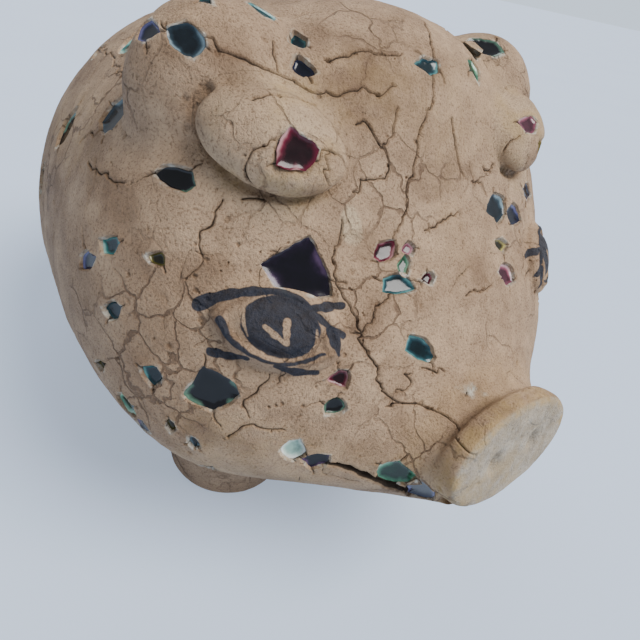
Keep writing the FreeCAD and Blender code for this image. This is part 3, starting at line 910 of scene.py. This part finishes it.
def hairlines(tree, scale, warp, width):
    """Fine crazing: the edges of warped cells. 1 on the line."""
    noise = node(tree, "ShaderNodeTexNoise", Scale=scale * 1.7, Detail=3)
    tree.links.new(coordinates(tree), noise.inputs["Vector"])
    scaled = node(tree, "ShaderNodeVectorMath", operation="SCALE")
    scaled.inputs["Scale"].default_value = warp
    tree.links.new(noise.outputs["Color"], scaled.inputs[0])
    total = node(tree, "ShaderNodeVectorMath", operation="ADD")
    tree.links.new(scaled.outputs[0], total.inputs[0])
    tree.links.new(coordinates(tree), total.inputs[1])
    cells = node(tree, "ShaderNodeTexVoronoi", feature="DISTANCE_TO_EDGE", Scale=scale)
    tree.links.new(total.outputs[0], cells.inputs["Vector"])
    return mask(tree, cells.outputs["Distance"], width * 0.3, width)


# the first colour serves both for stains and for painted shade at the lids and under the ears
STAIN_AND_SHADE = (0.115, 0.062, 0.032)
OCHRE = (0.40, 0.27, 0.11)
CREAM = (0.50, 0.39, 0.26)
CRUST = (0.62, 0.62, 0.55)
CRAZE = (0.09, 0.05, 0.03)
CRACK = (0.022, 0.013, 0.008)


def clay_material(name, light, dark):
    """Matt fired slip. The skin's masks say where it is stained, darkened with painted shade, worn, cracked,
    bare or painted.
    """
    made, tree, shader = material(name, 0.78, Specular_IOR_Level=0.25)
    tone = ramp(tree, noise_map(tree, 55, 5, 0.6), (0.3, dark), (0.55, light),
                (0.75, tuple(1.12 * c for c in light)))
    blotch = ramp(tree, noise_map(tree, 170, 4, 0.65, 3.1), (0.35, (0.74, 0.70, 0.67)),
                  (0.62, (1.05, 1.03, 1.0)))
    colour = mixed(tree, 0.8, tone, blotch, "MULTIPLY")
    colour = mixed(tree, product(tree, attribute(tree, "cream"), 0.75), colour, CREAM)
    grit = noise_map(tree, 1900, 3, 0.75, 1.3)
    sand = ramp(tree, grit, (0.34, (0.40, 0.34, 0.30)), (0.47, (0.97, 0.96, 0.95)), (0.72, (1.2, 1.18, 1.14)))
    colour = mixed(tree, 0.75, colour, sand, "MULTIPLY")
    # stains, and painted shade at the lids, under the ears' edges and towards the bottom, mixed in as one dark
    # colour
    stain_and_shade = product(tree, attribute(tree, "brown_and_shade"),
                     ramp(tree, noise_map(tree, 260, 4, 0.7, 7.7), (0.3, (0.35,) * 3), (0.62, (1,) * 3)))
    colour = mixed(tree, product(tree, stain_and_shade, 0.75), colour, STAIN_AND_SHADE)
    worn = product(tree, attribute(tree, "wear"),
                   ramp(tree, noise_map(tree, 210, 4, 0.7, 5.2), (0.36, (0,) * 3), (0.6, (1,) * 3)))
    colour = mixed(tree, product(tree, worn, 0.6), colour, OCHRE)
    halo = product(tree, attribute(tree, "halo"),
                   ramp(tree, noise_map(tree, 420, 3, 0.7, 2.2), (0.4, (0.1,) * 3), (0.6, (1,) * 3)))
    colour = mixed(tree, product(tree, halo, 0.7), colour, CRUST)
    fine = product(tree, hairlines(tree, 105, 0.006, 0.035),
                   ramp(tree, noise_map(tree, 38, 2, 0.5, 9.4), (0.45, (0,) * 3), (0.62, (1,) * 3)))
    colour = mixed(tree, product(tree, fine, 0.65), colour, CRAZE)
    crease = mask(tree, attribute(tree, "crease"), -0.10, 0.12)
    colour = mixed(tree, product(tree, crease, 0.93), colour, CRACK)
    bare = ramp(tree, noise_map(tree, 210, 5, 0.65, 8.3), (0.32, (0.24, 0.215, 0.175)),
                (0.62, (0.42, 0.39, 0.335)))
    bare = mixed(tree, 0.5, bare, sand, "MULTIPLY")
    pale = attribute(tree, "pale")
    colour = mixed(tree, product(tree, pale, 0.85), colour, bare)
    colour = mixed(tree, product(tree, product(tree, worn, pale), 0.8), colour, OCHRE)
    painted = mask(tree, attribute(tree, "paint"), -0.12, 0.16)
    slip = ramp(tree, noise_map(tree, 600, 4, 0.7, 4.4), (0.3, (0.007, 0.009, 0.015)),
                (0.65, (0.022, 0.029, 0.046)))
    colour = mixed(tree, product(tree, painted, 0.95), colour, slip)
    tree.links.new(colour, shader.inputs["Base Color"])
    normal = bump(tree, grit, 0.0005, 1.0)
    normal = bump(tree, noise_map(tree, 330, 5, 0.6), 0.0006, 0.5, normal)
    normal = bump(tree, product(tree, fine, -1), 0.0003, 0.9, normal)
    tree.links.new(normal, shader.inputs["Normal"])
    return made


def glass_material(name, middle, body, rim):
    """A pool of coloured glass: dark and clear in the middle, paler towards its edge."""
    made, tree, shader = material(name, 0.16, IOR=1.45, Specular_IOR_Level=0.42)
    edge = product(tree, attribute(tree, "rim"), product(tree, noise_map(tree, 700, 4, 0.65), 0.3), "ADD")
    colour = ramp(tree, edge, (0.22, middle), (0.5, body), (0.95, rim), (1.0, tuple(0.85 * c for c in rim)))
    cloud = ramp(tree, noise_map(tree, 380, 4, 0.6, 2.7), (0.35, (0.55,) * 3), (0.6, (1.1,) * 3))
    tree.links.new(mixed(tree, 0.8, colour, cloud, "MULTIPLY"), shader.inputs["Base Color"])
    tree.links.new(bump(tree, noise_map(tree, 300, 2, 0.5, 1.1), 0.0003, 0.25), shader.inputs["Normal"])
    return made


TAN = clay_material("fired_clay", (0.415, 0.295, 0.195), (0.29, 0.195, 0.125))

GLASS_COLOURS = {
    "turquoise": ((0.004, 0.018, 0.020), (0.04, 0.20, 0.19), (0.32, 0.55, 0.47)),
    "black": ((0.003, 0.003, 0.004), (0.006, 0.006, 0.009), (0.10, 0.20, 0.14)),
    "green": ((0.006, 0.028, 0.014), (0.07, 0.22, 0.13), (0.36, 0.54, 0.38)),
    "teal": ((0.003, 0.012, 0.016), (0.010, 0.05, 0.065), (0.10, 0.26, 0.26)),
    "navy": ((0.003, 0.004, 0.012), (0.010, 0.014, 0.045), (0.12, 0.12, 0.26)),
    "slate": ((0.006, 0.010, 0.014), (0.022, 0.04, 0.055), (0.20, 0.28, 0.32)),
    "crimson": ((0.012, 0.002, 0.004), (0.11, 0.008, 0.024), (0.42, 0.22, 0.22)),
    "amber": ((0.016, 0.014, 0.005), (0.10, 0.085, 0.022), (0.42, 0.36, 0.14)),
    "violet": ((0.003, 0.002, 0.006), (0.012, 0.006, 0.020), (0.10, 0.055, 0.12)),
    "white": ((0.30, 0.46, 0.38), (0.52, 0.66, 0.56), (0.78, 0.80, 0.74)),
    "rose": ((0.05, 0.010, 0.02), (0.24, 0.07, 0.11), (0.50, 0.30, 0.31)),
}


def shade_smooth(mesh, sharp=None):
    mesh.polygons.foreach_set("use_smooth", np.ones(len(mesh.polygons), bool))
    if sharp is not None:
        mesh.set_sharp_from_angle(angle=math.radians(sharp))


def clay_piece(name, obj):
    """One piece cut from the skin, in fired clay, in place of its CAD node."""
    give_masks(obj)
    shade_smooth(obj.data, 50)
    obj.data.materials.clear()
    obj.data.materials.append(TAN)
    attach(obj, PIG)
    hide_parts(name)


def glass_pools(colour, shades):
    """All glass of one colour: pools that stand a little higher at their edges than in the middle."""
    node_name = "chips_" + colour
    bm = bmesh.new()
    layer = bm.verts.layers.float.new("rim")
    for chip in (c for c in chips if c.node == node_name):
        ring = chip.outline()
        centre = ring.mean(0)
        place = np.column_stack([ring, np.full(len(ring), chip.middle.y / MM)])
        lively = 0.35 + 0.75 * step(grain(place, 2.6), 0.35, 0.65)
        rings, values = [[chip.place(p, -2.1) for p in centre + (ring - centre) * 0.9]], [1.0]
        for t in (1.0, 0.95, 0.88, 0.78, 0.65, 0.48, 0.28, 0.1):
            lift = -0.55 + 0.4 * t ** 6
            rings.append([chip.place(p, lift) for p in centre + (ring - centre) * t * 1.02])
            values.append(t ** 4 * lively)
        rings_to_mesh(bm, rings, values, layer)
    obj = object_from(f"glass_{colour}", bm)
    shade_smooth(obj.data, 40)
    obj.data.materials.append(glass_material(f"glass_{colour}", *shades))
    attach(obj, PIG)
    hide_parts(node_name)


def cork():
    """The bung: pressed cork with open grain."""
    obj = remesh(object_from("cork_bung", joined(["stopper"])), 0.5)
    smooth(obj, 2)
    p, n = points_of(obj.data) / MM, normals_of(obj.data)
    pocks = step(grain(p, 1.6), 0.62, 0.8) * 0.5 + 0.12 * (grain(p + 4, 4))
    set_points(obj.data, (p - n * (0.12 + pocks)[:, None]) * MM)
    made, tree, shader = material("pressed_cork", 0.8, Specular_IOR_Level=0.2)
    crumbs = node(tree, "ShaderNodeTexVoronoi", Scale=420)
    tree.links.new(coordinates(tree), crumbs.inputs["Vector"])
    base = ramp(tree, crumbs.outputs["Distance"], (0.1, (0.46, 0.30, 0.16)), (0.6, (0.30, 0.18, 0.09)),
                (0.85, (0.12, 0.06, 0.03)))
    blotch = ramp(tree, noise_map(tree, 160, 4), (0.3, (0.7,) * 3), (0.65, (1.15,) * 3))
    tree.links.new(mixed(tree, 0.8, base, blotch, "MULTIPLY"), shader.inputs["Base Color"])
    tree.links.new(bump(tree, noise_map(tree, 700, 4), 0.0004, 0.7), shader.inputs["Normal"])
    shade_smooth(obj.data)
    obj.data.materials.append(made)
    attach(obj, "bung")
    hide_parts("stopper")


for name, obj in pieces.items():
    clay_piece(name, obj)
for colour, shades in GLASS_COLOURS.items():
    glass_pools(colour, shades)
cork()


# ------------------------------------------------------------------ floor, light and camera
def studio():
    """A pale paper floor in soft light from the front, with the same pale colour behind it."""
    floor = box_tool("floor", (-40, -40, -0.02), (40, 40, -0.0002))
    made, tree, shader = material("paper", 0.9, Specular_IOR_Level=0.1, Emission_Color=(0.56, 0.66, 0.83, 1),
                                  Emission_Strength=0.62)
    tree.links.new(ramp(tree, noise_map(tree, 4), (0.3, (0.33, 0.40, 0.51)), (0.7, (0.35, 0.42, 0.53))),
                   shader.inputs["Base Color"])
    floor.data.materials.append(made)
    world = bpy.data.worlds.new("studio")
    world.use_nodes = True
    world.node_tree.nodes["Background"].inputs["Color"].default_value = (0.86, 0.92, 1.0, 1)
    world.node_tree.nodes["Background"].inputs["Strength"].default_value = 0.52
    tree = world.node_tree
    seen = node(tree, "ShaderNodeBackground", Color=(0.60, 0.70, 0.83, 1), Strength=1.45)
    choice = tree.nodes.new("ShaderNodeMixShader")
    tree.links.new(tree.nodes.new("ShaderNodeLightPath").outputs["Is Camera Ray"], choice.inputs[0])
    tree.links.new(tree.nodes["Background"].outputs[0], choice.inputs[1])
    tree.links.new(seen.outputs[0], choice.inputs[2])
    tree.links.new(choice.outputs[0], tree.nodes["World Output"].inputs["Surface"])
    bpy.context.scene.world = world
    for name, place, power, angle, tint in (
            ("key", (0.35, -0.45, 0.75), 4.9, 36, (1, 0.97, 0.93)),
            ("back", (0.3, 0.7, 0.6), 0.9, 40, (1, 1, 1))):
        light = bpy.data.lights.new(name, "SUN")
        light.energy, light.angle, light.color = power, math.radians(angle), tint
        lamp = new_object(name, light)
        lamp.location = place
        lamp.rotation_euler = (-Vector(place)).to_track_quat("-Z", "Y").to_euler()


def camera():
    """A wide lens close above the pig's right eye."""
    turn, lift, roll = (math.radians(a) for a in (-42.04, 36.25, 12.35))
    back = Vector((math.sin(turn) * math.cos(lift), -math.cos(turn) * math.cos(lift), math.sin(lift)))
    level = Vector((math.cos(turn), math.sin(turn), 0))
    up = back.cross(level)
    side = level * math.cos(roll) + up * math.sin(roll)
    data = bpy.data.cameras.new("camera")
    data.sensor_width = 36
    data.lens = 27.06
    data.clip_start = 0.002
    made = new_object("camera", data)
    turned = Matrix((side, back.cross(side), back)).transposed().to_4x4()
    made.matrix_world = Matrix.Translation(Vector((-84.07, -118.93, 127.33)) * MM) @ turned
    bpy.context.scene.camera = made


studio()
camera()
